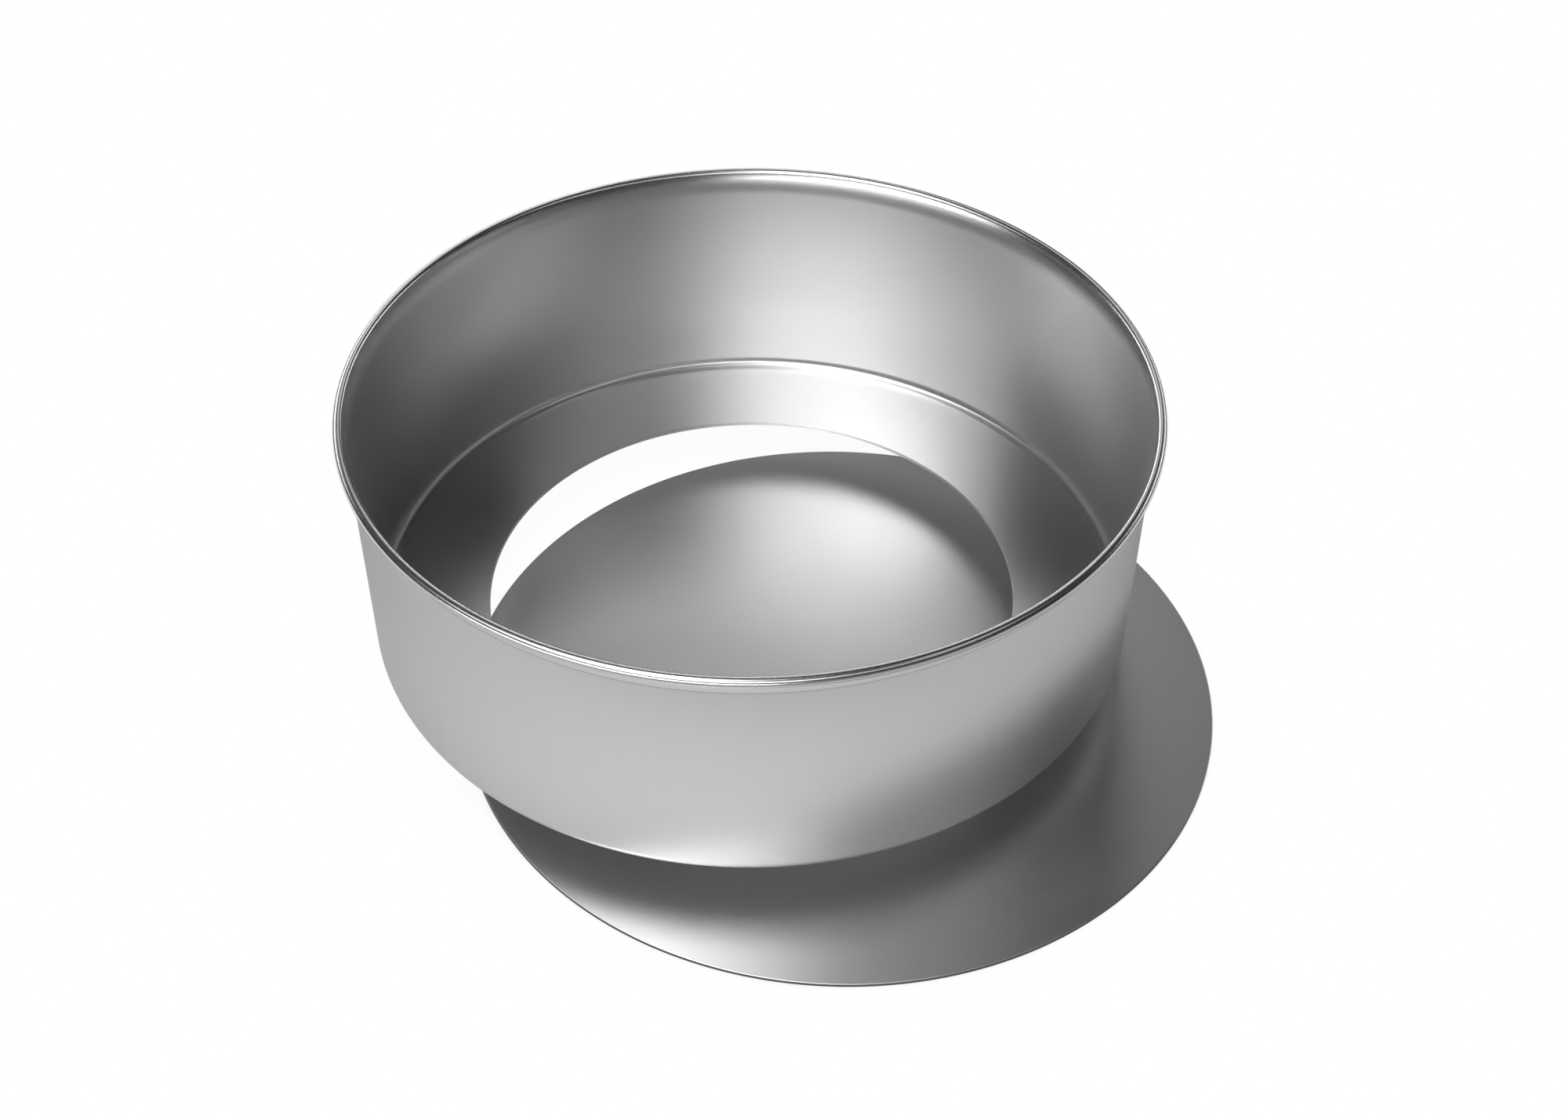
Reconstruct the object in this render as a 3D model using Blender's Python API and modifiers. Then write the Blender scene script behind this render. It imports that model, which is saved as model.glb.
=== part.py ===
"""A deep round cake pan with a loose bottom: a seamless drawn shell held just above its flat base disc.

Metres, +Z up. The origin is on the shell's axis, in the plane that the disc lies on.
Both pieces are satin anodised aluminium sheet, and both are turned profiles.
"""

import math

import bpy

MM = 0.001

# Driving dimensions of the drawn shell
SHEET = 1.1 * MM  # gauge of the shell and of the disc
INSIDE_DEPTH = 76.2 * MM  # top of the ledge to the top of the rim, 3 inches
SHELL_HEIGHT = INSIDE_DEPTH + SHEET  # underside of the ledge to the top of the rim
RIM_RADIUS = 119.0 * MM  # outside of the rolled rim
WALL_TOP_RADIUS = 115.8 * MM  # outside of the wall, just under the rim
WALL_BOTTOM_RADIUS = 115.0 * MM  # outside of the wall, just above the bottom corner
CORNER_RADIUS = 3.8 * MM  # outside of the bottom corner
HOLE_RADIUS = 80.6 * MM  # the round opening that leaves the ledge
BEAD_RADIUS = 1.55 * MM  # outside of the rolled rim's round section
CURL_END_DEG = -100.0  # where the rolled sheet stops, short of the wall
LEAN_DEG = 21.0  # how far the wall has bent outward where the roll starts

# Driving dimensions of the loose base disc
DISC_RADIUS = 112.6 * MM  # 1.3 mm less than the inside of the wall, where it drops in
DISC_EDGE_CHAMFER = 0.2 * MM
DISC_OFFSET_X = 26.3 * MM  # the disc lies off the shell's axis, to the right
DISC_OFFSET_Y = -30.0 * MM  # and to the front
LIFT_AT_REST = 13.0 * MM  # from the disc's top to the shell's underside

# Fineness of the round stretches
TURN_STEPS = 80
CORNER_STEPS = 4
NECK_STEPS = 3
CURL_OUTER_STEPS = 14
CURL_INNER_STEPS = 10

AXIS_MERGE = 0.00001

ANODISED_COLOUR = (0.78, 0.78, 0.79, 1.0)


def clear_scene():
    for old in list(bpy.data.objects):
        bpy.data.objects.remove(old, do_unlink=True)


def make_collection(name):
    collection = bpy.data.collections.new(name)
    bpy.context.scene.collection.children.link(collection)
    return collection


def anodised_aluminium(name, roughness):
    material = bpy.data.materials.new(name)
    material.use_nodes = True
    shader = material.node_tree.nodes["Principled BSDF"]
    shader.inputs["Base Color"].default_value = ANODISED_COLOUR
    shader.inputs["Metallic"].default_value = 1.0
    shader.inputs["Roughness"].default_value = roughness
    return material


def arc(centre, radius, start_deg, end_deg, steps):
    """Points on an arc, as (distance from the axis, height), ends included."""
    points = []
    for step in range(steps + 1):
        angle = math.radians(start_deg + (end_deg - start_deg) * step / steps)
        x = centre[0] + radius * math.cos(angle)
        z = centre[1] + radius * math.sin(angle)
        points.append((x, z))
    return points


def flare(end, upright_x, steps):
    """Points on a bend that leaves the wall upright and leans more and more up to its end, which is left out."""
    reach = end[0] - upright_x
    rise = 2 * reach / math.tan(math.radians(LEAN_DEG))
    points = []
    for step in range(steps):
        share = step / steps
        points.append((upright_x + reach * share * share, end[1] - rise * (1 - share)))
    return points


def turned_object(name, profile, closed, material, collection):
    """Turns a profile, which runs down its outer side, about the object's own Z axis."""
    mesh = bpy.data.meshes.new(name)
    vertices = [(x, 0.0, z) for x, z in profile]
    edges = [(i, i + 1) for i in range(len(profile) - 1)]
    if closed:
        edges.append((len(profile) - 1, 0))
    mesh.from_pydata(vertices, edges, [])
    piece = bpy.data.objects.new(name, mesh)
    collection.objects.link(piece)

    screw = piece.modifiers.new("turn", "SCREW")
    screw.axis = "Z"
    screw.angle = math.tau
    screw.steps = TURN_STEPS
    screw.render_steps = TURN_STEPS
    screw.use_merge_vertices = True
    screw.merge_threshold = AXIS_MERGE
    screw.use_smooth_shade = True

    bpy.context.view_layer.objects.active = piece
    piece.select_set(True)
    bpy.ops.object.modifier_apply(modifier=screw.name)
    piece.select_set(False)
    piece.data.shade_smooth()
    piece.data.set_sharp_from_angle(angle=math.radians(32))
    piece.data.materials.append(material)
    return piece


def shell_profile():
    """The section of the shell's sheet, from its own underside at height zero."""
    draft = math.atan2(WALL_TOP_RADIUS - WALL_BOTTOM_RADIUS, SHELL_HEIGHT)
    wall_deg = -math.degrees(draft)

    bead = (RIM_RADIUS - BEAD_RADIUS, SHELL_HEIGHT - BEAD_RADIUS)
    hollow_radius = BEAD_RADIUS - SHEET
    curl_start_deg = 180.0 - LEAN_DEG
    curl_outside = arc(bead, BEAD_RADIUS, curl_start_deg, CURL_END_DEG, CURL_OUTER_STEPS)
    curl_inside = arc(bead, hollow_radius, CURL_END_DEG, curl_start_deg, CURL_INNER_STEPS)
    outer_neck = flare(curl_inside[-1], WALL_TOP_RADIUS, NECK_STEPS)
    inner_neck = flare(curl_outside[0], WALL_TOP_RADIUS - SHEET, NECK_STEPS)

    corner = (WALL_BOTTOM_RADIUS - CORNER_RADIUS, CORNER_RADIUS)
    outer_corner = arc(corner, CORNER_RADIUS, wall_deg, -90.0, CORNER_STEPS)
    fillet_radius = CORNER_RADIUS - SHEET
    inner_corner = arc(corner, fillet_radius, -90.0, wall_deg, CORNER_STEPS)

    hole_edge = [(HOLE_RADIUS, 0.0), (HOLE_RADIUS, SHEET)]

    outside = outer_neck[::-1] + outer_corner
    inside = inner_corner + inner_neck
    return outside + hole_edge + inside + curl_outside + curl_inside


def disc_profile():
    """Half the section of the disc, from its underside at height zero."""
    flat = DISC_RADIUS - DISC_EDGE_CHAMFER
    return [
        (0.0, SHEET),
        (flat, SHEET),
        (DISC_RADIUS, SHEET - DISC_EDGE_CHAMFER),
        (DISC_RADIUS, DISC_EDGE_CHAMFER),
        (flat, 0.0),
        (0.0, 0.0),
    ]


def make_base_disc(collection):
    material = anodised_aluminium("base_disc_aluminium", 0.30)
    disc = turned_object("base_disc", disc_profile(), False, material, collection)
    disc.location = (DISC_OFFSET_X, DISC_OFFSET_Y, 0.0)
    return disc


def make_pan_shell(collection):
    material = anodised_aluminium("pan_shell_aluminium", 0.34)
    shell = turned_object("pan_shell", shell_profile(), True, material, collection)
    shell.location = (0.0, 0.0, SHEET + LIFT_AT_REST)
    return shell


def main():
    clear_scene()
    collection = make_collection("loose_bottom_cake_pan")
    make_base_disc(collection)
    make_pan_shell(collection)


main()
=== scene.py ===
"""The looks of the loose-bottom cake pan: fine sheet-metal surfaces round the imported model.

Metres, +Z up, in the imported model's own frame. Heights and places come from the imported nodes' boxes.
The radii of the sheet's section repeat the part's driving dimensions, because a box doesn't tell them.
"""

import math

import bpy
from mathutils import Matrix, Vector


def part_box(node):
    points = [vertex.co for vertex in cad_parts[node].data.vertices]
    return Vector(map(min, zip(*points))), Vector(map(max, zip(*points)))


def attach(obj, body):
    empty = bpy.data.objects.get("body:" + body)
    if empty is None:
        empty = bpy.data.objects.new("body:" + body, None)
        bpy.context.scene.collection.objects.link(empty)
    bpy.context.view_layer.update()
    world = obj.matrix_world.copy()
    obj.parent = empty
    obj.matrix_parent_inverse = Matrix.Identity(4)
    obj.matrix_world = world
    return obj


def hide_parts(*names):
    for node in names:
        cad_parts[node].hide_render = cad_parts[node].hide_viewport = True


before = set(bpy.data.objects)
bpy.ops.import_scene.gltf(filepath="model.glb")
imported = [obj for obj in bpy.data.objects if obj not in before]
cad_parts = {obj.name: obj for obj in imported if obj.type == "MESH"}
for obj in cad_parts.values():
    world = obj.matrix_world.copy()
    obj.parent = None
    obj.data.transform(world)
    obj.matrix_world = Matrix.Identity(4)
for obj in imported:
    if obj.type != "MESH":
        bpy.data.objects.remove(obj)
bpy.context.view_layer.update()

MM = 0.001

# The sheet's section, as the part has it
SHEET = 1.1 * MM
RIM_RADIUS = 119.0 * MM
WALL_TOP_RADIUS = 115.8 * MM
WALL_BOTTOM_RADIUS = 115.0 * MM
CORNER_RADIUS = 3.8 * MM
HOLE_RADIUS = 80.6 * MM
BEAD_RADIUS = 1.55 * MM  # outside of the rolled rim's round section
CURL_END_DEG = -100.0  # where the rolled sheet stops, short of the wall
LEAN_DEG = 21.0  # how far the wall has bent outward where the roll starts

# What the shears and dies leave, too small for the part
HOLE_BREAK = 0.22 * MM
DISC_ROLL_OVER = 0.30 * MM
DISC_BURR_BREAK = 0.14 * MM
SHEARED_START = 0.08 * MM  # the rough sheared face, darkened partly by painted shade, starts this far inside the disc's edge
SHEARED_FULL = 0.03 * MM
NECK_LINE_DROP = 7.2 * MM  # a thin darker line round the outside, this far below the top of the rim
NECK_LINE_CORE = 0.08 * MM
NECK_LINE_REACH = 0.34 * MM

# How fine the surfaces are
TURN_STEPS = 360
CORNER_STEPS = 18
NECK_STEPS = 10
CURL_OUTER_STEPS = 48
CURL_INNER_STEPS = 24
BREAK_STEPS = 5
EDGE_HOLD = 0.06 * MM  # a point this far inside each straight stretch keeps the stretch's shading straight
MERGE_DISTANCE = 0.001 * MM

# The finish of both sheets
CLOUD_TONE = 0.012
CLOUD_ROUGHNESS = 0.02
TOOTH_DEPTH = 0.0006 * MM

# The finish of the drawn shell
SHELL_TONE = 0.68
SHELL_ROUGHNESS = 0.30
SHELL_CLOUD_SIZE = 34 * MM
SHELL_TOOTH_SIZE = 0.22 * MM
SHELL_SPECK_SPACING = 13 * MM
SHELL_SPECK_RADIUS = 0.3 * MM
SHELL_SPECK_SHARE = 0.10
SHELL_SPECK_TONE = 0.05
DRAW_LINE_SPACING = 1.3 * MM
DRAW_LINE_LENGTH = 60 * MM
DRAW_LINE_TONE = 0.006
DRAW_LINE_ROUGHNESS = 0.012
DRAW_LINE_DEPTH = 0.0006 * MM
BEAD_ROUGHNESS = 0.25
BEAD_BLEND = 0.6 * MM  # the rim's glossier skin comes in over this height
PEEL_SIZE = 0.85 * MM
PEEL_DEPTH = 0.004 * MM
NECK_LINE_TONE = 0.17
NECK_LINE_DEPTH = 0.004 * MM

# The finish of the rolled disc
DISC_TONE = 0.68
DISC_ROUGHNESS = 0.36
DISC_GRAIN_DEG = 24.0
DISC_CLOUD_SIZE = 30 * MM
DISC_TOOTH_LENGTH = 0.9 * MM
DISC_TOOTH_WIDTH = 0.2 * MM
DISC_SPECK_SPACING = 11 * MM
DISC_SPECK_RADIUS = 0.32 * MM
DISC_SPECK_SHARE = 0.12
DISC_MARK_TONE = 0.06  # specks, and half as much for hairlines
MILL_LINE_LENGTH = 30 * MM
MILL_LINE_SPACING = 0.7 * MM
MILL_LINE_TONE = 0.012
MILL_LINE_ROUGHNESS = 0.03
MILL_LINE_DEPTH = 0.0010 * MM
HAIRLINE_LENGTH = 22 * MM
HAIRLINE_WIDTH = 0.45 * MM
HAIRLINE_TURN_DEG = 61.0
OTHER_HAIRLINE_TURN_DEG = -24.0
HAIRLINE_START = 0.74  # only the noise above this is a hairline, so hairlines are rare
HAIRLINE_FULL = 0.80
HAIRLINE_DEPTH = 0.004 * MM
# the sheared edge's tone: partly a cut face's own darker tone, mostly painted shade
SHEARED_TONE_AND_PAINTED_SHADE = 0.12
SHEARED_ROUGHNESS = 0.55

# The camera, fitted to the view of the rim, the ledge and the disc
SENSOR_WIDTH = 36.0
CAMERA_FOCAL = 2855.0 / 2000  # focal length over image width
CAMERA_ELEVATION = math.radians(42.562)
CAMERA_DISTANCE = 5.8319 * RIM_RADIUS
CAMERA_YAW = -0.01442  # small turns, in radians, that set the pan off the middle of the view
CAMERA_PITCH = 0.01209
CAMERA_ROLL = 0.00542
CAMERA_CLIP_START = 0.05
CAMERA_CLIP_END = 20.0

# The studio: oval softboxes at one distance from the pan, over a glowing white table. Its uneven glow is
# painted light on the table, with painted shadow beside the pan.
# A fitting program made the softboxes' numbers and the glow values below. They weren't chosen by hand.
LIGHT_DISTANCE = 1.5
SOFTBOXES = [
    # name, azimuth, elevation, width, height, glow
    ("key", -35, 51.9, 2.60, 0.44, 2.07),
    ("key_core", -20.5, 40.6, 1.01, 0.33, 3.53),
    ("top", -50.7, 65.5, 0.72, 1.24, 3.32),
    ("front_low", -33.1, 3.3, 2.60, 0.34, 7.28),
    ("front_right", 23.2, 40.9, 1.59, 0.29, 0.97),
    ("right", 67.8, 54.5, 0.61, 0.40, 0.87),
    ("back_right", 129.7, 21.9, 1.54, 0.28, 2.12),
    ("back", 177.5, 46.5, 0.65, 0.47, 1.05),
    ("back_left", -153.6, 22.9, 2.08, 0.29, 3.38),
]
ROOM_GLOW = 0.017
FLOOR_HALF = 3.0
FLOOR_DROP = 0.02 * MM
TABLE_TONE = 0.3
NEAR_GLOW = 0.234  # beside the pan, dimmer: painted shadow of the pan
NEAR_GLOW_BEHIND = -0.355  # added straight behind the pan, and taken away straight in front
TABLE_GLOW = 0.71
TABLE_GLOW_BEHIND = 0.709
SIDES_ALIKE = 0.10  # out to here the glow is the same all round, and from SIDES_APART its sides differ fully
SIDES_APART = 0.15
NEAR_END = 0.17  # the near glow turns into the table's between these two distances
TABLE_START = 0.26
TABLE_FADE = 0.55  # and the table's glow fades out between these two
TABLE_END = 0.70
CLEAN_WHITE = 1.0
# painted contact shade: the camera's white falls to this where the Ambient Occlusion node finds the pieces
# close
PAINTED_CONTACT_SHADE_WHITE = 0.8
CONTACT_REACH = 0.016
SHADE_SAMPLES = 8


def arc(centre, radius, start_deg, end_deg, steps):
    """Points on an arc, as (distance from the axis, height), ends included."""
    points = []
    for step in range(steps + 1):
        angle = math.radians(start_deg + (end_deg - start_deg) * step / steps)
        x = centre[0] + radius * math.cos(angle)
        z = centre[1] + radius * math.sin(angle)
        points.append((x, z))
    return points


def flare(end, upright_x, steps):
    """Points on a bend that starts upright and leans more and more. Its end is left out."""
    reach = end[0] - upright_x
    rise = 2 * reach / math.tan(math.radians(LEAN_DEG))
    points = []
    for step in range(steps):
        share = step / steps
        points.append((upright_x + reach * share * share, end[1] - rise * (1 - share)))
    return points


def holds(start, end):
    """Two points just inside a straight stretch's ends, which keep its shading straight."""
    along = Vector(end) - Vector(start)
    inset = along.normalized() * EDGE_HOLD
    first = Vector(start) + inset
    last = Vector(end) - inset
    return [tuple(first), tuple(last)]


def turned_piece(name, profile, closed, centre, material, body, node):
    """Turns a section, which runs down its outer side, about an upright axis through centre."""
    mesh = bpy.data.meshes.new(name)
    edges = [(i, i + 1) for i in range(len(profile) - 1)]
    if closed:
        edges.append((len(profile) - 1, 0))
    mesh.from_pydata([(x, 0.0, z) for x, z in profile], edges, [])
    section = bpy.data.objects.new(name + "_section", mesh)
    bpy.context.scene.collection.objects.link(section)

    screw = section.modifiers.new("turn", "SCREW")
    screw.axis = "Z"
    screw.angle = math.tau
    screw.steps = TURN_STEPS
    screw.render_steps = TURN_STEPS
    screw.use_merge_vertices = True
    screw.merge_threshold = MERGE_DISTANCE
    screw.use_smooth_shade = True

    turned = bpy.data.meshes.new_from_object(section.evaluated_get(bpy.context.evaluated_depsgraph_get()))
    bpy.data.objects.remove(section)
    turned.name = name
    turned.shade_smooth()
    turned.materials.clear()
    turned.materials.append(material)
    piece = bpy.data.objects.new(name, turned)
    piece.location = centre
    bpy.context.scene.collection.objects.link(piece)
    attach(piece, body)
    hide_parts(node)
    return piece


def shell_section(height):
    """The closed section of the shell's sheet, from its underside at height zero."""
    draft = math.atan2(WALL_TOP_RADIUS - WALL_BOTTOM_RADIUS, height)
    wall_deg = -math.degrees(draft)

    bead = (RIM_RADIUS - BEAD_RADIUS, height - BEAD_RADIUS)
    hollow_radius = BEAD_RADIUS - SHEET
    curl_start_deg = 180.0 - LEAN_DEG
    curl_outside = arc(bead, BEAD_RADIUS, curl_start_deg, CURL_END_DEG, CURL_OUTER_STEPS)
    curl_inside = arc(bead, hollow_radius, CURL_END_DEG, curl_start_deg, CURL_INNER_STEPS)
    outer_neck = flare(curl_inside[-1], WALL_TOP_RADIUS, NECK_STEPS)
    inner_neck = flare(curl_outside[0], WALL_TOP_RADIUS - SHEET, NECK_STEPS)

    corner = (WALL_BOTTOM_RADIUS - CORNER_RADIUS, CORNER_RADIUS)
    outer_corner = arc(corner, CORNER_RADIUS, wall_deg, -90.0, CORNER_STEPS)
    inner_corner = arc(corner, CORNER_RADIUS - SHEET, -90.0, wall_deg, CORNER_STEPS)

    lower_edge = arc((HOLE_RADIUS + HOLE_BREAK, HOLE_BREAK), HOLE_BREAK, -90.0, -180.0, BREAK_STEPS)
    upper_edge = arc((HOLE_RADIUS + HOLE_BREAK, SHEET - HOLE_BREAK), HOLE_BREAK, 180.0, 90.0, BREAK_STEPS)

    section = outer_neck[::-1]
    section += holds(outer_neck[0], outer_corner[0]) + outer_corner
    section += holds(outer_corner[-1], lower_edge[0]) + lower_edge
    section += upper_edge + holds(upper_edge[-1], inner_corner[0])
    section += inner_corner + holds(inner_corner[-1], inner_neck[0]) + inner_neck
    section += curl_outside + curl_inside
    return section


def disc_section(radius, thickness):
    """Half the section of the disc: its top edge rolled over by the shear, its bottom edge nearly sharp."""
    top_centre = (radius - DISC_ROLL_OVER, thickness - DISC_ROLL_OVER)
    top_break = arc(top_centre, DISC_ROLL_OVER, 90.0, 0.0, BREAK_STEPS)
    low_centre = (radius - DISC_BURR_BREAK, DISC_BURR_BREAK)
    low_break = arc(low_centre, DISC_BURR_BREAK, 0.0, -90.0, BREAK_STEPS)
    centre_ring = radius * 0.5
    section = [(0.0, thickness), (centre_ring, thickness)]
    section += holds((centre_ring, thickness), top_break[0])[1:] + top_break
    section += holds(top_break[-1], low_break[0]) + low_break
    section += holds(low_break[-1], (centre_ring, 0.0))[:1] + [(centre_ring, 0.0), (0.0, 0.0)]
    return section


def node(tree, kind, settings=None, **inputs):
    """Adds a node. Its inputs are given by name, with _ for a space, as a value or another node's output."""
    made = tree.nodes.new(kind)
    for key, value in (settings or {}).items():
        setattr(made, key, value)
    for key, value in inputs.items():
        join(tree, value, made.inputs[key.replace("_", " ")])
    return made


def join(tree, value, socket):
    if isinstance(value, bpy.types.NodeSocket):
        tree.links.new(value, socket)
    else:
        socket.default_value = value


def maths(tree, operation, first, second=0.0):
    made = node(tree, "ShaderNodeMath", {"operation": operation})
    join(tree, first, made.inputs[0])
    join(tree, second, made.inputs[1])
    return made.outputs[0]


def remap(tree, value, start, end, low, high):
    """Value's stretch from start to end, eased, as low to high, and held outside it."""
    settings = {"interpolation_type": "SMOOTHSTEP"}
    made = node(tree, "ShaderNodeMapRange", settings, Value=value)
    join(tree, start, made.inputs["From Min"])
    join(tree, end, made.inputs["From Max"])
    join(tree, low, made.inputs["To Min"])
    join(tree, high, made.inputs["To Max"])
    return made.outputs["Result"]


def grain(tree, place, sizes, turn_deg=0.0, detail=2.0):
    """Noise whose spots are about as large as sizes, in metres, along the axes turned about Z."""
    turned = node(tree, "ShaderNodeMapping", {"vector_type": "TEXTURE"}, Vector=place)
    turned.inputs["Rotation"].default_value = (0.0, 0.0, math.radians(turn_deg))
    turned.inputs["Scale"].default_value = sizes
    noise = node(tree, "ShaderNodeTexNoise", Vector=turned.outputs["Vector"], Scale=1.0, Detail=detail)
    return noise.outputs[0]


def centred(tree, value, amount):
    """Noise as a change of at most about amount either way."""
    return maths(tree, "MULTIPLY", maths(tree, "SUBTRACT", value, 0.5), 2.0 * amount)


def grey(tree, value):
    return node(tree, "ShaderNodeCombineColor", Red=value, Green=value, Blue=value).outputs["Color"]


def length(tree, vector):
    made = node(tree, "ShaderNodeVectorMath", {"operation": "LENGTH"})
    join(tree, vector, made.inputs[0])
    return made.outputs["Value"]


def new_metal(name):
    """A metal to finish: the material, its shader, and the place on the piece, its radius and its height."""
    material = bpy.data.materials.new(name)
    material.use_nodes = True
    tree = material.node_tree
    shader = tree.nodes["Principled BSDF"]
    shader.inputs["Metallic"].default_value = 1.0
    place = node(tree, "ShaderNodeTexCoord").outputs["Object"]
    flat = node(tree, "ShaderNodeVectorMath", {"operation": "MULTIPLY"})
    join(tree, place, flat.inputs[0])
    flat.inputs[1].default_value = (1.0, 1.0, 0.0)
    radius = length(tree, flat.outputs["Vector"])
    height = node(tree, "ShaderNodeSeparateXYZ", Vector=place).outputs["Z"]
    return material, shader, place, radius, height


def bump(tree, height, depth, under=None):
    made = node(tree, "ShaderNodeBump", Strength=1.0, Distance=depth, Height=height)
    if under is not None:
        join(tree, under, made.inputs["Normal"])
    return made.outputs["Normal"]


def specks(tree, place, spacing, radius, share):
    """One where a rare small speck is, in a share of the cells that are spacing wide, else zero."""
    cells = node(tree, "ShaderNodeTexVoronoi", Vector=place, Scale=1.0 / spacing)
    near = remap(tree, cells.outputs["Distance"], 0.5 * radius / spacing, radius / spacing, 1.0, 0.0)
    draw = node(tree, "ShaderNodeSeparateColor", Color=cells.outputs["Color"]).outputs["Red"]
    return maths(tree, "MULTIPLY", near, maths(tree, "LESS_THAN", draw, share))


def scratches(tree, place, turn_deg):
    """Rare hairlines of a few centimetres, all in about one direction."""
    streak = grain(tree, place, (HAIRLINE_LENGTH, HAIRLINE_WIDTH, HAIRLINE_WIDTH), turn_deg, 1.0)
    return remap(tree, streak, HAIRLINE_START, HAIRLINE_FULL, 0.0, 1.0)


def drawn_aluminium(height_of_shell):
    """Satin sheet with faint draw lines, a glossier skin on the rolled rim, and a thin darker, slightly sunk
    line under it.
    """
    material, shader, place, radius, height = new_metal("drawn_aluminium")
    tree = material.node_tree
    bead_start = height_of_shell - 2 * BEAD_RADIUS
    on_bead = remap(tree, height, bead_start, bead_start + BEAD_BLEND, 0.0, 1.0)
    off_neck = maths(tree, "ABSOLUTE", maths(tree, "SUBTRACT", height, height_of_shell - NECK_LINE_DROP))
    neck_line = remap(tree, off_neck, NECK_LINE_CORE, NECK_LINE_REACH, 1.0, 0.0)
    outside = maths(tree, "GREATER_THAN", radius, WALL_TOP_RADIUS - 0.5 * SHEET)
    neck_line = maths(tree, "MULTIPLY", neck_line, outside)

    clouds = grain(tree, place, (SHELL_CLOUD_SIZE, SHELL_CLOUD_SIZE, SHELL_CLOUD_SIZE))
    draw_lines = grain(tree, place, (DRAW_LINE_SPACING, DRAW_LINE_SPACING, DRAW_LINE_LENGTH))
    tooth = grain(tree, place, (SHELL_TOOTH_SIZE, SHELL_TOOTH_SIZE, SHELL_TOOTH_SIZE), 0.0, 1.0)
    peel = grain(tree, place, (PEEL_SIZE, PEEL_SIZE, PEEL_SIZE), 0.0, 1.0)
    marks = specks(tree, place, SHELL_SPECK_SPACING, SHELL_SPECK_RADIUS, SHELL_SPECK_SHARE)

    tone = maths(tree, "ADD", centred(tree, clouds, CLOUD_TONE), centred(tree, draw_lines, DRAW_LINE_TONE))
    tone = maths(tree, "ADD", tone, maths(tree, "MULTIPLY", marks, SHELL_SPECK_TONE))
    tone = maths(tree, "SUBTRACT", tone, maths(tree, "MULTIPLY", neck_line, NECK_LINE_TONE))
    join(tree, grey(tree, maths(tree, "ADD", tone, SHELL_TONE)), shader.inputs["Base Color"])

    rough = remap(tree, on_bead, 0.0, 1.0, SHELL_ROUGHNESS, BEAD_ROUGHNESS)
    rough = maths(tree, "ADD", rough, centred(tree, clouds, CLOUD_ROUGHNESS))
    rough = maths(tree, "ADD", rough, centred(tree, draw_lines, DRAW_LINE_ROUGHNESS))
    join(tree, rough, shader.inputs["Roughness"])

    skin = maths(tree, "MULTIPLY", peel, on_bead)
    normal = bump(tree, tooth, TOOTH_DEPTH)
    normal = bump(tree, draw_lines, DRAW_LINE_DEPTH, normal)
    normal = bump(tree, skin, PEEL_DEPTH, normal)
    normal = bump(tree, neck_line, -NECK_LINE_DEPTH, normal)
    join(tree, normal, shader.inputs["Normal"])
    return material


def rolled_aluminium(radius_of_disc):
    """Satin anodised sheet with the mill's straight grain, a few hairlines, and a rough sheared edge painted
    dark: partly a cut face's own darker tone, mostly painted shade from the table beside it.
    """
    material, shader, place, radius, _ = new_metal("rolled_aluminium")
    tree = material.node_tree
    sheared = remap(tree, radius, radius_of_disc - SHEARED_START, radius_of_disc - SHEARED_FULL, 0.0, 1.0)

    clouds = grain(tree, place, (DISC_CLOUD_SIZE, DISC_CLOUD_SIZE, DISC_CLOUD_SIZE))
    line_sizes = (MILL_LINE_LENGTH, MILL_LINE_SPACING, MILL_LINE_SPACING)
    mill_lines = grain(tree, place, line_sizes, DISC_GRAIN_DEG, 3.0)
    tooth_sizes = (DISC_TOOTH_LENGTH, DISC_TOOTH_WIDTH, DISC_TOOTH_WIDTH)
    tooth = grain(tree, place, tooth_sizes, DISC_GRAIN_DEG, 1.0)
    some_hairlines = scratches(tree, place, HAIRLINE_TURN_DEG)
    other_hairlines = scratches(tree, place, OTHER_HAIRLINE_TURN_DEG)
    hairlines = maths(tree, "MAXIMUM", some_hairlines, other_hairlines)
    marks = specks(tree, place, DISC_SPECK_SPACING, DISC_SPECK_RADIUS, DISC_SPECK_SHARE)
    light_marks = maths(tree, "MAXIMUM", maths(tree, "MULTIPLY", hairlines, 0.5), marks)

    tone = maths(tree, "ADD", centred(tree, clouds, CLOUD_TONE), centred(tree, mill_lines, MILL_LINE_TONE))
    tone = maths(tree, "ADD", tone, maths(tree, "MULTIPLY", light_marks, DISC_MARK_TONE))
    tone = maths(tree, "ADD", tone, DISC_TONE)
    # the sheared edge turns dark: partly its own tone, mostly painted shade
    tone = remap(tree, sheared, 0.0, 1.0, tone, SHEARED_TONE_AND_PAINTED_SHADE)
    join(tree, grey(tree, tone), shader.inputs["Base Color"])

    cloud_part = centred(tree, clouds, CLOUD_ROUGHNESS)
    line_part = centred(tree, mill_lines, MILL_LINE_ROUGHNESS)
    rough = maths(tree, "ADD", cloud_part, line_part)
    rough = maths(tree, "ADD", rough, DISC_ROUGHNESS)
    rough = remap(tree, sheared, 0.0, 1.0, rough, SHEARED_ROUGHNESS)
    join(tree, rough, shader.inputs["Roughness"])

    normal = bump(tree, tooth, TOOTH_DEPTH)
    normal = bump(tree, mill_lines, MILL_LINE_DEPTH, normal)
    normal = bump(tree, hairlines, -HAIRLINE_DEPTH, normal)
    join(tree, normal, shader.inputs["Normal"])
    return material


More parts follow.
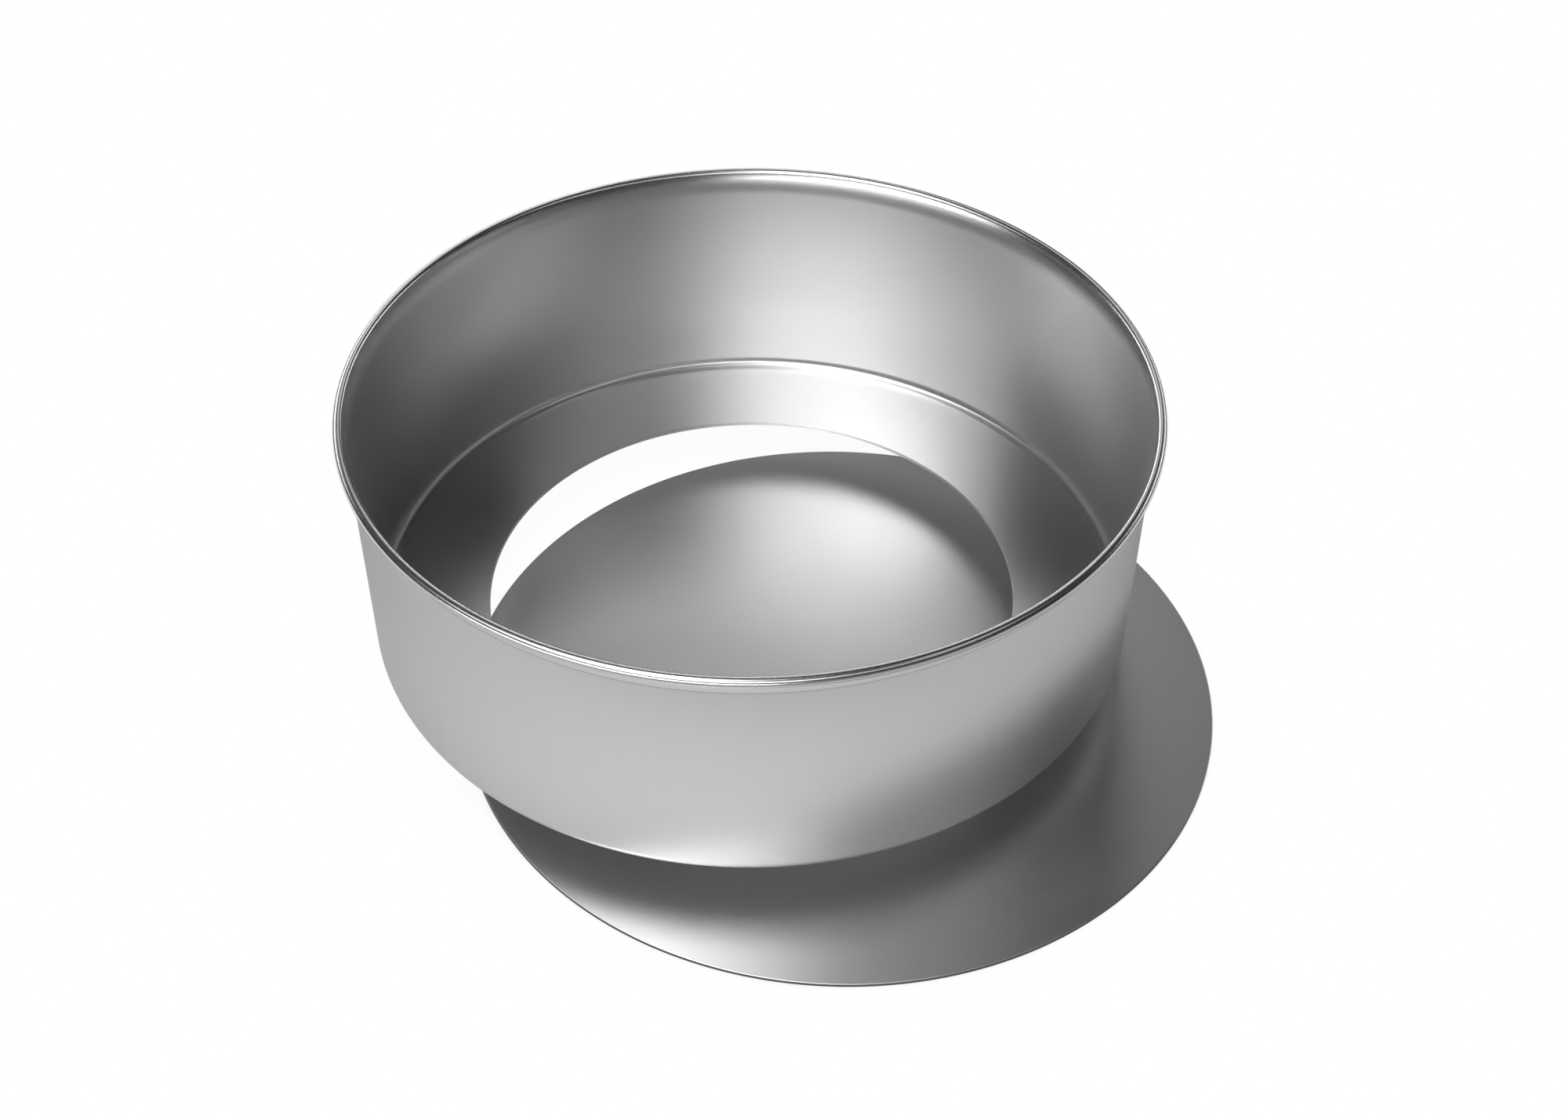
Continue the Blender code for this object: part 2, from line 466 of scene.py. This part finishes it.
def make_shell():
    low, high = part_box("pan_shell")
    height = high.z - low.z
    centre = Vector(((low.x + high.x) / 2, (low.y + high.y) / 2, low.z))
    material = drawn_aluminium(height)
    section = shell_section(height)
    return turned_piece("shell", section, True, centre, material, "shell", "pan_shell")


def make_disc():
    low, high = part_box("base_disc")
    radius = (high.x - low.x) / 2
    centre = Vector(((low.x + high.x) / 2, (low.y + high.y) / 2, low.z))
    material = rolled_aluminium(radius)
    section = disc_section(radius, high.z - low.z)
    return turned_piece("disc", section, False, centre, material, "base", "base_disc")


def make_floor():
    """The table that the disc lies on, a hair below it."""
    mesh = bpy.data.meshes.new("floor")
    size = FLOOR_HALF
    corners = [(-size, -size, 0.0), (size, -size, 0.0), (size, size, 0.0), (-size, size, 0.0)]
    mesh.from_pydata(corners, [], [(0, 1, 2, 3)])
    floor = bpy.data.objects.new("floor", mesh)
    bpy.context.scene.collection.objects.link(floor)
    mesh.materials.append(white_table())
    floor.location.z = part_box("base_disc")[0].z - FLOOR_DROP
    return floor


def white_table():
    """A table that the metal sees glow unevenly, as painted light with a painted shadow beside the pan, and
    that the camera sees as clean white with painted contact shade.
    """
    material = bpy.data.materials.new("white_table")
    material.use_nodes = True
    tree = material.node_tree
    place = node(tree, "ShaderNodeTexCoord").outputs["Object"]
    # painted light: the table's glow, dimmer beside the pan as painted shadow
    from_pan = length(tree, place)
    behind = maths(tree, "DIVIDE", node(tree, "ShaderNodeSeparateXYZ", Vector=place).outputs["Y"], from_pan)
    behind = maths(tree, "MULTIPLY", behind, remap(tree, from_pan, SIDES_ALIKE, SIDES_APART, 0.0, 1.0))
    near = maths(tree, "ADD", NEAR_GLOW, maths(tree, "MULTIPLY", behind, NEAR_GLOW_BEHIND))
    around = maths(tree, "ADD", TABLE_GLOW, maths(tree, "MULTIPLY", behind, TABLE_GLOW_BEHIND))
    glow = remap(tree, from_pan, NEAR_END, TABLE_START, near, around)
    glow = remap(tree, from_pan, TABLE_FADE, TABLE_END, glow, 0.0)
    glow = maths(tree, "MAXIMUM", glow, 0.0)

    lit = tree.nodes["Principled BSDF"]
    lit.inputs["Base Color"].default_value = (TABLE_TONE, TABLE_TONE, TABLE_TONE, 1.0)
    lit.inputs["Roughness"].default_value = 1.0
    lit.inputs["Specular IOR Level"].default_value = 0.0
    lit.inputs["Emission Color"].default_value = (1.0, 1.0, 1.0, 1.0)
    join(tree, glow, lit.inputs["Emission Strength"])

    # painted contact shade: an Ambient Occlusion node darkens the white near the disc and the shell; no
    # shadow is cast
    shade = node(tree, "ShaderNodeAmbientOcclusion", {"samples": SHADE_SAMPLES}, Distance=CONTACT_REACH)
    white = remap(tree, shade.outputs["AO"], 0.0, 1.0, PAINTED_CONTACT_SHADE_WHITE, CLEAN_WHITE)
    clean = node(tree, "ShaderNodeEmission", Strength=white)
    path = node(tree, "ShaderNodeLightPath")
    mix = node(tree, "ShaderNodeMixShader", Fac=path.outputs["Is Camera Ray"])
    tree.links.new(lit.outputs["BSDF"], mix.inputs[1])
    tree.links.new(clean.outputs["Emission"], mix.inputs[2])
    tree.links.new(mix.outputs["Shader"], tree.nodes["Material Output"].inputs["Surface"])
    return material


def soft_light(name, azimuth, elevation, width, height, glow):
    """An oval softbox that faces the pan. Azimuth 0 is the front, 90 is the right. Glow is its radiance."""
    data = bpy.data.lights.new(name, "AREA")
    data.shape = "ELLIPSE"
    data.size = width
    data.size_y = height
    data.energy = glow * math.pi * (math.pi * width * height / 4)
    light = bpy.data.objects.new(name, data)
    bpy.context.scene.collection.objects.link(light)
    turn = math.radians(azimuth)
    rise = math.radians(elevation)
    towards = Vector((math.cos(rise) * math.sin(turn), -math.cos(rise) * math.cos(turn), math.sin(rise)))
    light.location = towards * LIGHT_DISTANCE
    light.rotation_euler = towards.to_track_quat("Z", "Y").to_euler()
    light.visible_camera = False
    return light


def make_lights():
    for name, azimuth, elevation, width, height, glow in SOFTBOXES:
        soft_light(name, azimuth, elevation, width, height, glow)


def make_camera(target):
    """Looks at the target from the front and above, with small turns that place the pan in the view."""
    back = Vector((0.0, -math.cos(CAMERA_ELEVATION), math.sin(CAMERA_ELEVATION)))
    forward = -back
    right = Vector((1.0, 0.0, 0.0))
    up = right.cross(forward)
    yaw = Matrix.Rotation(CAMERA_YAW, 3, up)
    forward = yaw @ forward
    right = yaw @ right
    pitch = Matrix.Rotation(CAMERA_PITCH, 3, right)
    forward = pitch @ forward
    up = pitch @ up
    roll = Matrix.Rotation(CAMERA_ROLL, 3, forward)
    right = roll @ right
    up = roll @ up

    data = bpy.data.cameras.new("camera")
    data.sensor_fit = "HORIZONTAL"
    data.sensor_width = SENSOR_WIDTH
    data.lens = CAMERA_FOCAL * SENSOR_WIDTH
    data.clip_start = CAMERA_CLIP_START
    data.clip_end = CAMERA_CLIP_END
    camera = bpy.data.objects.new("camera", data)
    bpy.context.scene.collection.objects.link(camera)
    turn = Matrix((right, up, -forward)).transposed()
    camera.matrix_world = Matrix.Translation(target + back * CAMERA_DISTANCE) @ turn.to_4x4()
    bpy.context.scene.camera = camera
    return camera


def make_world():
    """White to the eye, and nearly dark to the pan, which only the softboxes and the table light."""
    world = bpy.data.worlds.new("studio")
    bpy.context.scene.world = world
    world.use_nodes = True
    tree = world.node_tree
    room = tree.nodes["Background"]
    room.inputs["Color"].default_value = (1.0, 1.0, 1.0, 1.0)
    room.inputs["Strength"].default_value = ROOM_GLOW
    clean = node(tree, "ShaderNodeBackground", Color=(1.0, 1.0, 1.0, 1.0), Strength=CLEAN_WHITE)
    path = node(tree, "ShaderNodeLightPath")
    mix = node(tree, "ShaderNodeMixShader", Fac=path.outputs["Is Camera Ray"])
    tree.links.new(room.outputs["Background"], mix.inputs[1])
    tree.links.new(clean.outputs["Background"], mix.inputs[2])
    tree.links.new(mix.outputs["Shader"], tree.nodes["World Output"].inputs["Surface"])


def main():
    bpy.context.scene.view_settings.view_transform = "Standard"
    make_shell()
    make_disc()
    make_floor()
    make_lights()
    make_world()
    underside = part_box("pan_shell")[0].z
    make_camera(Vector((0.0, 0.0, underside)))


main()
